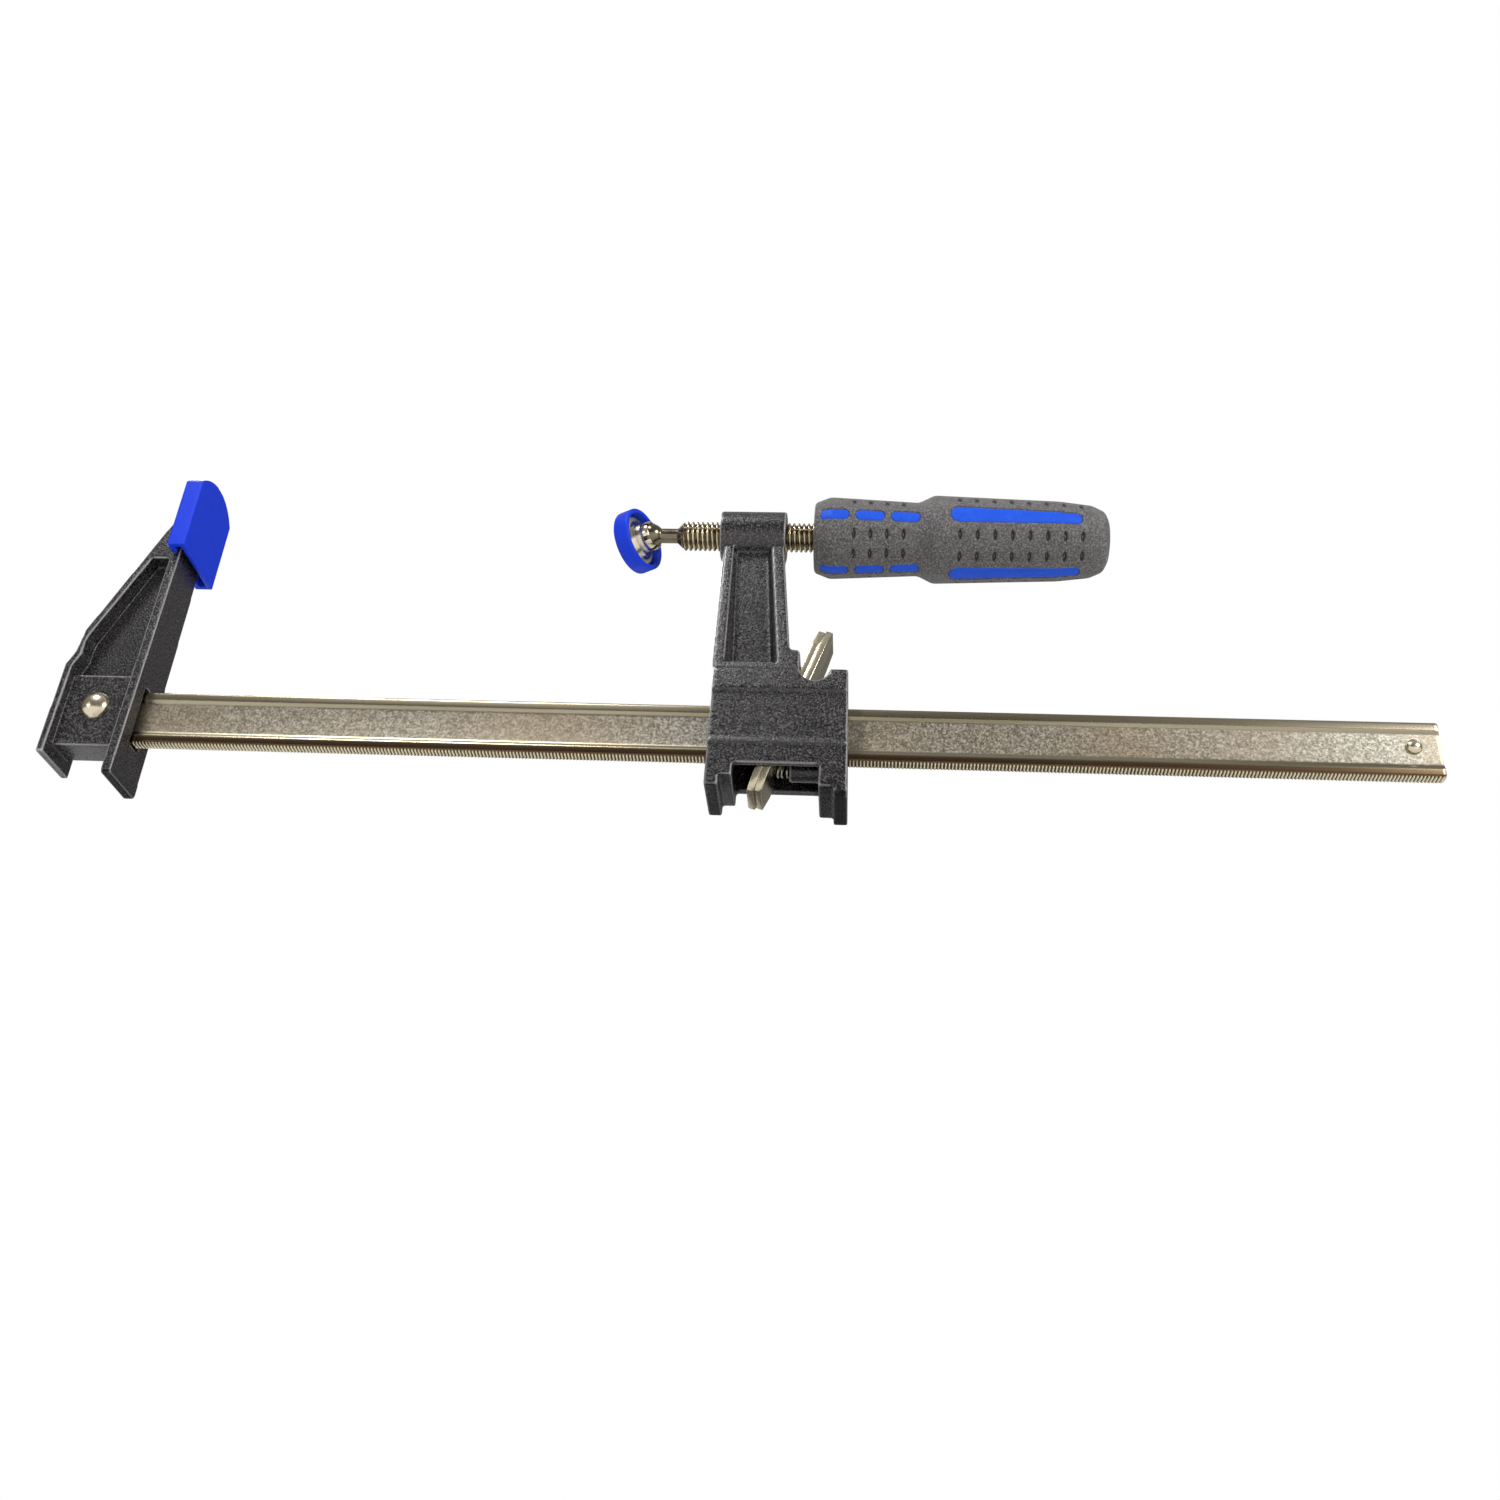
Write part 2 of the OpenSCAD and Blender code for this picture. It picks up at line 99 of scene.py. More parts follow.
THREAD_PITCH = 25.4 / 12 * MM
TOOTH_PITCH = 1.405 * MM
FLOOR_Z = cad_low.z


# ---------- mesh helpers ----------


def smoothstep(value, low, high):
    """0 below low, 1 above high, and a smooth rise between them."""
    t = np.clip((np.asarray(value, float) - low) / (high - low), 0, 1)
    return t * t * (3 - 2 * t)


def soften(points, radius, steps=4):
    """A line of 2D points with each inner corner rounded by about that radius."""
    points = [np.array(p, float) for p in points]
    rounded = [points[0]]
    for before, corner, after in zip(points, points[1:], points[2:]):
        reach_in = min(radius, 0.45 * np.linalg.norm(corner - before))
        reach_out = min(radius, 0.45 * np.linalg.norm(after - corner))
        start = corner + (before - corner) / np.linalg.norm(before - corner) * reach_in
        end = corner + (after - corner) / np.linalg.norm(after - corner) * reach_out
        for t in np.linspace(0, 1, steps + 1):
            rounded.append((1 - t) ** 2 * start + 2 * t * (1 - t) * corner + t**2 * end)
    rounded.append(points[-1])
    return [tuple(p) for p in rounded]


def skin(rings, caps=True):
    """Vertices and faces of a tube through equal rings of points, shape (rings, points, 3)."""
    count, around = rings.shape[:2]
    grid = np.arange(count * around).reshape(count, around)
    turned_grid = np.roll(grid, -1, axis=1)
    faces = np.stack([grid[:-1], turned_grid[:-1], turned_grid[1:], grid[1:]], axis=-1)
    faces = [list(map(int, f)) for f in faces.reshape(-1, 4)]
    if caps:
        faces.append([int(i) for i in grid[0][::-1]])
        faces.append([int(i) for i in grid[-1]])
    return rings.reshape(-1, 3), faces


def joined(*parts):
    """Several (vertices, faces) pairs as one."""
    vertices, faces, start = [], [], 0
    for part_vertices, part_faces in parts:
        vertices.append(np.asarray(part_vertices, float))
        faces.extend([[i + start for i in f] for f in part_faces])
        start += len(part_vertices)
    return np.vstack(vertices), faces


def lathe(profile, steps=96, place=None):
    """A solid turned about local X from (along, radius) pairs, then moved by place."""
    angle = np.arange(steps) * TAU / steps
    along = np.array([p[0] for p in profile])[:, None] * np.ones(steps)
    radius = np.maximum(np.array([p[1] for p in profile]), 1e-6)[:, None]
    rings = np.stack([along, radius * np.cos(angle), radius * np.sin(angle)], axis=-1)
    vertices, faces = skin(rings)
    if place is not None:
        vertices = moved(vertices, place)
    return vertices, faces


def moved(vertices, place):
    turn = np.array(place.to_3x3())
    return vertices @ turn.T + np.array(place.translation)


def add_piece(name, shape, body, material, node=None, sharp=40):
    """Makes an object from (vertices, faces), smooth but for edges sharper than that angle."""
    vertices, faces = shape
    mesh = bpy.data.meshes.new(name)
    mesh.from_pydata([tuple(v) for v in vertices], [], faces)
    return finish_piece(name, mesh, body, material, node, sharp)


def finish_piece(name, mesh, body, material, node, sharp):
    """Tidies a mesh's normals and makes it a piece of the model."""
    work = bmesh.new()
    work.from_mesh(mesh)
    bmesh.ops.recalc_face_normals(work, faces=work.faces)
    work.to_mesh(mesh)
    work.free()
    mesh.materials.clear()
    mesh.materials.append(material)
    mesh.shade_smooth()
    mesh.set_sharp_from_angle(angle=math.radians(sharp))
    piece = bpy.data.objects.new(name, mesh)
    bpy.context.scene.collection.objects.link(piece)
    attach(piece, body)
    if node:
        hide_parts(node)
    return piece


def evaluated_copy(source_mesh, name, add_modifiers):
    """A copy of a mesh with modifiers applied."""
    scratch = bpy.data.objects.new(name + "_scratch", source_mesh)
    bpy.context.scene.collection.objects.link(scratch)
    add_modifiers(scratch)
    graph = bpy.context.evaluated_depsgraph_get()
    made = bpy.data.meshes.new_from_object(scratch.evaluated_get(graph))
    made.name = name
    bpy.data.objects.remove(scratch)
    return made


def cast_copy(node, voxel, rounds):
    """The CAD solid with every edge and inside corner rounded off, as a casting or moulding."""

    def modifiers(obj):
        remesh = obj.modifiers.new("remesh", "REMESH")
        remesh.mode = "VOXEL"
        remesh.voxel_size = voxel
        remesh.adaptivity = 0
        relax = obj.modifiers.new("relax", "SMOOTH")
        relax.factor = 0.5
        relax.iterations = rounds

    return evaluated_copy(frame["nodes"][node].data.copy(), node, modifiers)


def bevelled_copy(node, width):
    """The CAD solid with its sharp edges broken."""
    source = frame["nodes"][node].data.copy()
    work = bmesh.new()
    work.from_mesh(source)
    bmesh.ops.remove_doubles(work, verts=work.verts, dist=1e-6)
    bmesh.ops.dissolve_limit(
        work, angle_limit=math.radians(2), verts=work.verts, edges=work.edges
    )
    work.to_mesh(source)
    work.free()

    def modifiers(obj):
        bevel = obj.modifiers.new("bevel", "BEVEL")
        bevel.width = width
        bevel.segments = 3
        bevel.limit_method = "ANGLE"
        bevel.angle_limit = math.radians(30)

    return evaluated_copy(source, node, modifiers)


# ---------- material helpers ----------


class Shader:
    """A Principled material with short calls for the nodes used here."""

    def __init__(self, name):
        self.material = bpy.data.materials.new(name)
        self.material.use_nodes = True
        self.nodes = self.material.node_tree.nodes
        self.links = self.material.node_tree.links
        self.bsdf = self.nodes["Principled BSDF"]
        self.place = self.nodes.new("ShaderNodeTexCoord").outputs["Object"]

    def set(self, **values):
        for socket, value in values.items():
            self.bsdf.inputs[socket.replace("_", " ")].default_value = value

    def link(self, source, socket):
        self.links.new(source, self.bsdf.inputs[socket])

    def stretched(self, scale):
        """Object coordinates scaled along each axis."""
        mapping = self.nodes.new("ShaderNodeMapping")
        mapping.inputs["Scale"].default_value = scale
        self.links.new(self.place, mapping.inputs["Vector"])
        return mapping.outputs["Vector"]

    def noise(self, size, detail=3, roughness=0.55, stretch=None):
        """Noise with features of about that size in metres."""
        node = self.nodes.new("ShaderNodeTexNoise")
        node.inputs["Scale"].default_value = 1 / size
        node.inputs["Detail"].default_value = detail
        node.inputs["Roughness"].default_value = roughness
        source = self.stretched(stretch) if stretch else self.place
        self.links.new(source, node.inputs["Vector"])
        return node.outputs["Fac"]

    def ramp(self, source, *stops):
        """Colours by value; each stop is (place, colour or grey)."""
        node = self.nodes.new("ShaderNodeValToRGB")
        elements = node.color_ramp.elements
        while len(elements) < len(stops):
            elements.new(0.5)
        for element, (place, colour) in zip(elements, stops):
            element.position = place
            element.color = (*([colour] * 3 if isinstance(colour, float) else colour), 1)
        self.links.new(source, node.inputs["Fac"])
        return node.outputs["Color"]

    def math(self, operation, first, second):
        node = self.nodes.new("ShaderNodeMath")
        node.operation = operation
        for socket, value in zip(node.inputs, (first, second)):
            if isinstance(value, (int, float)):
                socket.default_value = value
            else:
                self.links.new(value, socket)
        return node.outputs["Value"]

    def range(self, source, low, high, to_low, to_high):
        node = self.nodes.new("ShaderNodeMapRange")
        for name, value in (
            ("From Min", low),
            ("From Max", high),
            ("To Min", to_low),
            ("To Max", to_high),
        ):
            node.inputs[name].default_value = value
        self.links.new(source, node.inputs["Value"])
        return node.outputs["Result"]

    def mix(self, factor, first, second, blend="MIX"):
        node = self.nodes.new("ShaderNodeMix")
        node.data_type = "RGBA"
        node.blend_type = blend
        for name, value in (("Factor", factor), ("A", first), ("B", second)):
            sockets = [s for s in node.inputs if s.name == name and s.enabled]
            if isinstance(value, (int, float)):
                sockets[0].default_value = value
            elif isinstance(value, tuple):
                sockets[0].default_value = (*value, 1)
            else:
                self.links.new(value, sockets[0])
        return [s for s in node.outputs if s.enabled][0]

    def edges(self, low=0.5, high=0.56):
        """1 on convex edges, 0 elsewhere, or on concave corners when the limits are reversed; it marks
        rubbed wear, painted highlights and painted shade. It needs a dense mesh.
        """
        node = self.nodes.new("ShaderNodeNewGeometry")
        return self.range(node.outputs["Pointiness"], low, high, 0, 1)

    def bump(self, height, distance, strength=1.0, over=None):
        node = self.nodes.new("ShaderNodeBump")
        node.inputs["Strength"].default_value = strength
        node.inputs["Distance"].default_value = distance
        self.links.new(height, node.inputs["Height"])
        if over is not None:
            self.links.new(over, node.inputs["Normal"])
        self.links.new(node.outputs["Normal"], self.bsdf.inputs["Normal"])
        return node.outputs["Normal"]


# ---------- materials ----------


def black_casting():
    """Satin black coat over a sand-cast skin, with painted shade in its corners, and edges lightened
    both as rubbed wear and as a painted highlight.
    """
    s = Shader("black_casting")
    s.set(Metallic=0.0, Coat_Weight=0.25, Coat_Roughness=0.2)
    s.bsdf.inputs["Specular IOR Level"].default_value = 0.5
    sand = s.noise(0.75 * MM, detail=2, roughness=0.7)
    coat = s.ramp(
        sand, (0.42, (0.002, 0.002, 0.003)), (0.52, (0.008, 0.007, 0.008)), (0.65, (0.115, 0.105, 0.11))
    )
    patches = s.noise(16 * MM, detail=2)
    coat = s.mix(s.range(patches, 0.4, 0.75, 0.0, 0.3), coat, (0.024, 0.019, 0.022))
    # Convex edges are lightened, partly as rubbed wear and partly as a painted highlight.
    edge_wear_and_highlight = s.mix(s.math("MULTIPLY", s.edges(0.512, 0.55), 0.9), coat, (0.46, 0.45, 0.46))
    # Painted shade: concave corners are darkened nearly to black.
    painted_corner_shade = s.mix(s.edges(0.495, 0.455), edge_wear_and_highlight, (0.004, 0.0035, 0.004))
    s.link(painted_corner_shade, "Base Color")
    s.link(s.range(sand, 0.35, 0.65, 0.20, 0.40), "Roughness")
    lumps = s.bump(s.noise(3.0 * MM, detail=2), 0.16 * MM, 0.7)
    s.bump(sand, 0.16 * MM, 1.0, over=lumps)
    return s.material


def rail_steel():
    """Plated bar: a grainy web, tan beads, and a painted dark reflection along its lower edge."""
    s = Shader("rail_steel")
    s.set(Metallic=1.0)
    split = s.nodes.new("ShaderNodeSeparateXYZ")
    s.links.new(s.place, split.inputs["Vector"])
    height = s.math("SUBTRACT", split.outputs["Z"], RAIL_Z)
    bead = s.range(s.math("ABSOLUTE", height, 0), 6.5 * MM, 7.1 * MM, 0, 1)
    grain = s.noise(0.9 * MM, detail=3, roughness=0.8)
    web = s.ramp(
        grain, (0.36, (0.13, 0.12, 0.095)), (0.50, (0.29, 0.27, 0.225)), (0.66, (0.60, 0.57, 0.49))
    )
    streaks = s.noise(6 * MM, detail=2, stretch=(0.04, 1, 1))
    edge = s.ramp(streaks, (0.35, (0.27, 0.23, 0.155)), (0.65, (0.40, 0.35, 0.25)))
    warm = s.noise(110 * MM, detail=2, stretch=(1, 0.2, 0.2))
    web = s.mix(s.range(warm, 0.4, 0.62, 0.0, 0.55), web, (0.33, 0.25, 0.155))
    plated = s.mix(bead, web, edge)
    low = s.range(height, -RAIL_H / 2, -RAIL_H / 2 + 5 * MM, 0, 1)
    # Painted reflection: a dark band is painted a few millimetres above the bottom edge.
    low_edge_reflection = s.ramp(low, (0.08, 0.0), (0.14, 0.95), (0.56, 0.85), (0.80, 0.0))
    with_low_edge_reflection = s.mix(low_edge_reflection, plated, (0.10, 0.055, 0.025))
    gaps = s.range(height, -RAIL_H / 2 + 0.15 * MM, -RAIL_H / 2 + 0.75 * MM, 0, 1)
    crests = s.math("MULTIPLY", s.math("SUBTRACT", 1.0, gaps), 0.9)
    s.link(s.mix(crests, with_low_edge_reflection, (0.86, 0.80, 0.62)), "Base Color")
    dull = s.range(grain, 0.35, 0.65, 0.36, 0.52)
    s.link(s.mix(bead, dull, (0.26, 0.26, 0.26)), "Roughness")
    s.bump(s.mix(bead, grain, (0.5, 0.5, 0.5)), 0.03 * MM, 0.5)
    return s.material


def zinc_plate(name="zinc_plate", tint=(0.72, 0.64, 0.47), rough=0.22, mottle_depth=0.06):
    """Bright zinc with a pale gold tint, faint mottling and handling marks."""
    s = Shader(name)
    s.set(Metallic=1.0)
    mottle = s.noise(2.2 * MM, detail=3, roughness=0.55)
    dark = tuple((1 - 1.6 * mottle_depth) * c for c in tint)
    pale = tuple(min(1.0, (1 + mottle_depth) * c) for c in tint)
    s.link(s.ramp(mottle, (0.36, dark), (0.52, tint), (0.68, pale)), "Base Color")
    marks = s.noise(0.9 * MM, detail=3, stretch=(1, 1, 0.15))
    s.link(s.range(marks, 0.3, 0.75, rough - 0.05, rough + 0.08), "Roughness")
    return s.material


def screw_steel():
    """Rolled thread: bright crests, painted shade in the thread roots, and a painted dark reflection on
    the neck.
    """
    s = Shader("screw_steel")
    s.set(Metallic=1.0)
    split = s.nodes.new("ShaderNodeSeparateXYZ")
    s.links.new(s.place, split.inputs["Vector"])
    across = s.math("POWER", split.outputs["Y"], 2)
    up = s.math("POWER", split.outputs["Z"], 2)
    radius = s.math("SQRT", s.math("ADD", across, up), 0)
    crest = s.range(radius, 5.2 * MM, 6.2 * MM, 0, 1)
    beyond_neck = s.range(split.outputs["X"], BALL_X + 14.5 * MM, BALL_X + 15.5 * MM, 0, 1)
    # Painted shade: the thread roots are darkened.
    root_shade = s.math("MULTIPLY", beyond_neck, s.math("SUBTRACT", 1.0, crest))
    mottle = s.noise(2.2 * MM, detail=3)
    bright = s.ramp(mottle, (0.36, (0.52, 0.46, 0.33)), (0.62, (0.72, 0.64, 0.46)))
    # Painted reflection: the neck is darkened to stand in for the dim surroundings it reflects.
    neck = s.math("SUBTRACT", 0.85, s.math("MULTIPLY", beyond_neck, 0.85))
    plated = s.mix(neck, bright, (0.11, 0.09, 0.06))
    s.link(s.mix(s.math("MULTIPLY", root_shade, 0.9), plated, (0.09, 0.06, 0.03)), "Base Color")
    s.link(s.range(mottle, 0.3, 0.7, 0.17, 0.27), "Roughness")
    return s.material


def moulded(name, colour, pale, rough, grain=0.9 * MM, depth=0.06 * MM):
    """Moulded plastic with a fine spark-eroded grain."""
    s = Shader(name)
    s.set(Metallic=0.0)
    s.bsdf.inputs["Specular IOR Level"].default_value = 0.18
    cloud = s.noise(7 * MM, detail=3)
    fine = s.noise(grain, detail=3, roughness=0.7)
    base = s.ramp(cloud, (0.35, colour), (0.7, pale))
    speck = s.mix(s.range(fine, 0.35, 0.65, 0.0, 0.5), tuple(0.72 * c for c in colour), base)
    lighter = tuple(min(1.0, c * 1.2 + 0.02) for c in pale)
    rubbed = s.mix(s.math("MULTIPLY", s.edges(0.52, 0.57), 0.3), speck, lighter)
    s.link(rubbed, "Base Color")
    s.link(s.range(fine, 0.3, 0.7, rough - 0.06, rough + 0.1), "Roughness")
    s.bump(fine, depth, 0.6)
    return s.material


def grip_rubber():
    """Matte moulded rubber with a fine stipple, dusty high spots and painted shade in its hollows."""
    s = Shader("grip_rubber")
    s.set(Metallic=0.0)
    s.bsdf.inputs["Sheen Weight"].default_value = 0.12
    s.bsdf.inputs["Sheen Roughness"].default_value = 0.6
    fine = s.noise(0.8 * MM, detail=2, roughness=0.7)
    dust = s.noise(13 * MM, detail=3)
    base = s.ramp(
        fine, (0.38, (0.036, 0.034, 0.034)), (0.50, (0.076, 0.072, 0.073)), (0.64, (0.18, 0.172, 0.17))
    )
    base = s.mix(s.range(dust, 0.4, 0.75, 0.0, 0.25), base, (0.12, 0.105, 0.10))
    # Painted shade: concave spots such as the dimples' hollows are darkened.
    s.link(s.mix(s.edges(0.497, 0.475), base, (0.006, 0.005, 0.005)), "Base Color")
    s.link(s.range(fine, 0.3, 0.7, 0.58, 0.8), "Roughness")
    s.bump(fine, 0.12 * MM, 0.9)
    return s.material


BLACK = black_casting()
RAIL = rail_steel()
ZINC = zinc_plate()
SPRING = zinc_plate("spring_steel", (0.62, 0.60, 0.55), 0.3, 0.05)
SCREW = screw_steel()
BLUE = moulded("blue_plastic", (0.006, 0.048, 0.80), (0.010, 0.065, 0.90), 0.42)
INLAY = moulded("blue_core", (0.012, 0.095, 0.76), (0.020, 0.125, 0.86), 0.5)
RUBBER = grip_rubber()


# ---------- rail ----------


def rail_section():
    """Half the bar's outline, clockwise from the top, as (y, z) about its centre."""
    top, side = RAIL_H / 2, RAIL_T / 2
    web = 2.2 * MM
    bead = top - 4 * MM
    corner, blend = 1.4 * MM, 1.6 * MM
    quarter = np.linspace(0, TAU / 4, 6)
    arc = [
        (side - corner + corner * math.sin(a), top - corner + corner * math.cos(a))
        for a in quarter
    ]
    waist = soften([(side, bead + 0.8 * MM), (side, bead), (web, bead - blend), (web, 0)], 0.8 * MM)
    upper = [(0.45 * side, top), *arc, *waist[:-1]]
    lower = [(y, -z) for y, z in reversed(upper)]
    return upper + lower


def rail_shape():
    """The bar, with fine bite teeth along its underside in front of the fixed jaw."""
    right = rail_section()
    outline = np.array(right + [(-y, z) for y, z in reversed(right)])
    depth = 0.8 * MM
    ends = 0.5 * MM
    jaw_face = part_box("fixed_jaw")[0].x + 34 * MM
    teeth = int((rail_high.x - ends - jaw_face) / TOOTH_PITCH)
    stations = [(rail_low.x, 0, 0.93), (rail_low.x + ends, 0, 1), (jaw_face, 0, 1)]
    for i in range(teeth):
        x = jaw_face + i * TOOTH_PITCH
        stations += [
            (x + 0.15 * TOOTH_PITCH, 0, 1),
            (x + 0.40 * TOOTH_PITCH, 0, 1),
            (x + 0.70 * TOOTH_PITCH, depth, 1),
            (x + 0.85 * TOOTH_PITCH, depth, 1),
        ]
    stations += [(rail_high.x - ends, 0, 1), (rail_high.x, 0, 0.93)]
    rings = []
    for x, cut, shrink in stations:
        y, z = outline[:, 0] * shrink, outline[:, 1].copy()
        z = np.sign(z) * (np.abs(z) - (1 - shrink) * 6 * MM)
        z = np.maximum(z, -RAIL_H / 2 + cut + (1 - shrink) * 6 * MM)
        rings.append(np.stack([np.full_like(y, x), y, z + RAIL_Z], axis=-1))
    return skin(np.array(rings))


def domed_pin(node, edge):
    """A pin across the clamp with a domed head on each side."""
    low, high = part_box(node)
    head_r = (high.x - low.x) / 2
    reach = (high.y - low.y) / 2
    rise = 0.36 * head_r * 2
    rise = min(rise, reach - 1.5 * MM)
    dome = []
    for t in np.linspace(0, 1, 18):
        a = t * TAU / 4
        dome.append((reach - rise + rise * math.cos(a), head_r * math.sin(a)))
    under = [(reach - rise - edge, head_r), (reach - rise - edge, 0.55 * head_r)]
    right = [(reach, 0.0), *dome[1:], *under]
    profile = right + [(-x, r) for x, r in reversed(right)]
    centre = ((low + high) / 2).to_tuple()
    place = Matrix.Translation(centre) @ Matrix.Rotation(TAU / 4, 4, "Z")
    return lathe(profile, 72, place)


add_piece("rail_bar", rail_shape(), "frame", RAIL, "rail", sharp=32)
add_piece("stop_pin_dome", domed_pin("stop_pin", 0.3 * MM), "frame", ZINC, "stop_pin")
add_piece("jaw_rivet_dome", domed_pin("jaw_rivet", 0.5 * MM), "frame", ZINC, "jaw_rivet")


# ---------- castings and caps ----------

for node, body, voxel, rounds, slot, material in (
    ("fixed_jaw", "frame", 0.45 * MM, 9, "black_casting", BLACK),
    ("sliding_jaw", "slider", 0.45 * MM, 18, "black_casting", BLACK),
    ("jaw_cap", "frame", 0.35 * MM, 5, "blue_plastic", BLUE),
):
    finish_piece(node + "_cast", cast_copy(node, voxel, rounds), body, material, node, 60)


# ---------- clutch ----------

for node in ("clutch_plate_front", "clutch_plate_rear"):
    finish_piece(node + "_plate", bevelled_copy(node, 0.35 * MM), "clutch", ZINC, node, 35)


PLATE_LEAN = 18.6


def coil_shape(turns, wire_r, steps=28, sides=10):
    """The clutch spring as a wire coiled about X, with close-wound ends."""
    low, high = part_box("clutch_spring")
    centre_z = (low.z + high.z) / 2
    coil_r = (high.y - low.y) / 2 - wire_r
    count = int(turns * steps)
    rings = []
    for k in range(count + 1):
        share = k / count
        spread = share + 0.06 * math.sin(TAU * share) * -1
        a = TAU * k / steps
        x = low.x + wire_r + (high.x - low.x - 2 * wire_r) * spread
        # The end against the plates leans with them
        x += math.tan(math.radians(PLATE_LEAN)) * coil_r * math.sin(a) * (1 - share)
        centre = np.array([x, coil_r * math.cos(a), centre_z + coil_r * math.sin(a)])
        out = np.array([0, math.cos(a), math.sin(a)])
        ring = [
            centre + wire_r * (math.cos(b) * out + math.sin(b) * np.array([1, 0, 0]))
            for b in np.arange(sides) * TAU / sides
        ]
        rings.append(ring)
    return skin(np.array(rings))


coil = coil_shape(8, 0.42 * MM)
spring = add_piece("clutch_coil", coil, "slider", SPRING, "clutch_spring")
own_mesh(spring)


# ---------- screw ----------


def spindle_shape():
    """Ball, neck, chamfer and a right-hand thread, as rings along X."""
    around = 64
    neck_r = 3.2 * MM
    depth = 1.15 * MM
    thread_x = BALL_X + 11.5 * MM
    chamfer = 3.4 * MM
    thread_end = HANDLE_X + 8 * MM
    angle = np.arange(around) * TAU / around
    rings = []

    def ring(x, radius):
        r = np.maximum(radius * np.ones(around), 1e-6)
        rings.append(np.stack([np.full(around, x), r * np.cos(angle), r * np.sin(angle)], axis=-1))

    neck_turn = math.acos(math.sqrt(1 - (neck_r / BALL_R) ** 2))
    for a in np.linspace(0, TAU / 2 - neck_turn, 28):
        ring(BALL_X - BALL_R * math.cos(a), BALL_R * math.sin(a))
    for x in np.linspace(BALL_X + 4.6 * MM, thread_x - 0.2 * MM, 8):
        ring(x, neck_r)
    x = thread_x
    while x < thread_end:
        phase = (x / THREAD_PITCH - angle / TAU) % 1
        ridge = 1 - np.abs(2 * phase - 1)
        ridge = smoothstep(ridge, 0.08, 0.88)
        envelope = neck_r + (x - thread_x) / chamfer * (THREAD_R - neck_r)
        ring(x, np.minimum(THREAD_R - depth * (1 - ridge), envelope))
        x += THREAD_PITCH / 14
    ring(thread_end, THREAD_R - depth)
    ring(spindle_high.x, THREAD_R - depth)
    return skin(np.array(rings))


add_piece("screw", spindle_shape(), "screw", SCREW, "spindle", sharp=50)
frame["nodes"]["ball_seat"].data.materials.clear()
frame["nodes"]["ball_seat"].data.materials.append(SPRING)


# ---------- pressure pad ----------

# Pad pieces are drawn with local +X from the clamping face back to the ball.
pad_turn = (-pad_out).to_track_quat("X", "Z").to_matrix().to_4x4()
pad_place = Matrix.Translation((BALL_X, 0, 0)) @ pad_turn
PAD_R = 14.1 * MM
PAD_CAP_H = 7.4 * MM
DISC_R = PAD_R - 2.2 * MM
DISC_FRONT = PAD_FRONT - 2.5 * MM


def pad_cap_shape():
    back = PAD_FRONT - PAD_CAP_H
    inner = DISC_R + 0.05 * MM
    floor_depth = DISC_FRONT + 0.05 * MM
    profile = [
        (-PAD_FRONT, 0), (-PAD_FRONT, PAD_R), (-back, PAD_R), (-back, inner),
        (-floor_depth, inner), (-floor_depth, 0),
    ]
    return lathe(soften(profile, 0.9 * MM, 5), 144, pad_place)


# Radius of the hollow round the ball and its seat, in millimetres
SOCKET_R = 5.95


def collar_finger(centre_angle, width, place):
    """One crimped tab of the collar, bent in over the ball."""
    outer = [(-2.6, 6.6), (-0.6, 6.6), (0.6, 6.45), (1.64, 5.95)]
    inner = [(1.64, 5.2), (0.9, 5.35), (0.1, SOCKET_R), (-2.6, SOCKET_R)]
    loop = soften([*outer, *inner, outer[0]], 0.35, 3)[:-1]
    rings = []
    for a in np.linspace(centre_angle - width / 2, centre_angle + width / 2, 9):
        shrink = 1 - 0.012 * abs((a - centre_angle) / (width / 2)) ** 6
        reach = MM * shrink
        rings.append([(x * MM, r * reach * math.cos(a), r * reach * math.sin(a)) for x, r in loop])
    vertices, faces = skin(np.array(rings))
    return moved(vertices, place), faces


def socket_shape():
    front = DISC_FRONT / MM
    disc = DISC_R / MM
    profile = [
        (-front, 0), (-front, disc), (1.6 - front, disc), (2.2 - front, disc - 0.9),
        (2.0 - front, disc - 2.4), (-6.6, 8.6), (-4.6, 7.2), (-2.2, 6.6), (-1.4, 6.6),
    ]
    hollow = [
        (-SOCKET_R * math.cos(a), SOCKET_R * math.sin(a))
        for a in np.linspace(math.acos(1.4 / SOCKET_R), 0, 16)
    ]
    outline = [*soften(profile, 0.5, 4), *hollow]
    body = lathe([(x * MM, r * MM) for x, r in outline], 144, pad_place)
    fingers = 6
    tabs = [
        collar_finger(TAU * (i + 0.25) / fingers, 0.72 * TAU / fingers, pad_place)
        for i in range(fingers)
    ]
    return joined(body, *tabs)


add_piece("pad_cap_blue", pad_cap_shape(), "pad", BLUE, "pad_cap", sharp=50)
add_piece("pad_socket_steel", socket_shape(), "pad", ZINC, "pad_socket", sharp=45)


# ---------- handle ----------

# Outline of the grip as millimetres from its left end, and millimetres under its largest radius
GRIP_OUTLINE = [
    (0, 12.2), (0, 3.9), (6.8, 1.3), (45, 3.2), (51.5, 0.0), (105, 1.9),
    (118.5, 3.5), (124, 6.0), (126, 10.0), (126, 18.99),
]
WINDOW_DEPTH = 0.9
DIMPLE_DEPTH = 1.0
DIMPLE_HALF_W = 3.0
DIMPLE_HALF_L = 1.25
INLAY_TURNS = [i * TAU / 4 for i in range(4)]
SHORT_INLAYS = [(2.4 + 15.2 * i, 15.1 + 15.2 * i, 2.6, 2.6) for i in range(3)]
LONG_INLAY = (58.0, 113.5, 4.0, 2.75)
INLAYS = [*SHORT_INLAYS, LONG_INLAY]
DIMPLES = [17.1 + 7.05 * i for i in range(4)] + [62.0 + 7.36 * i for i in range(8)]
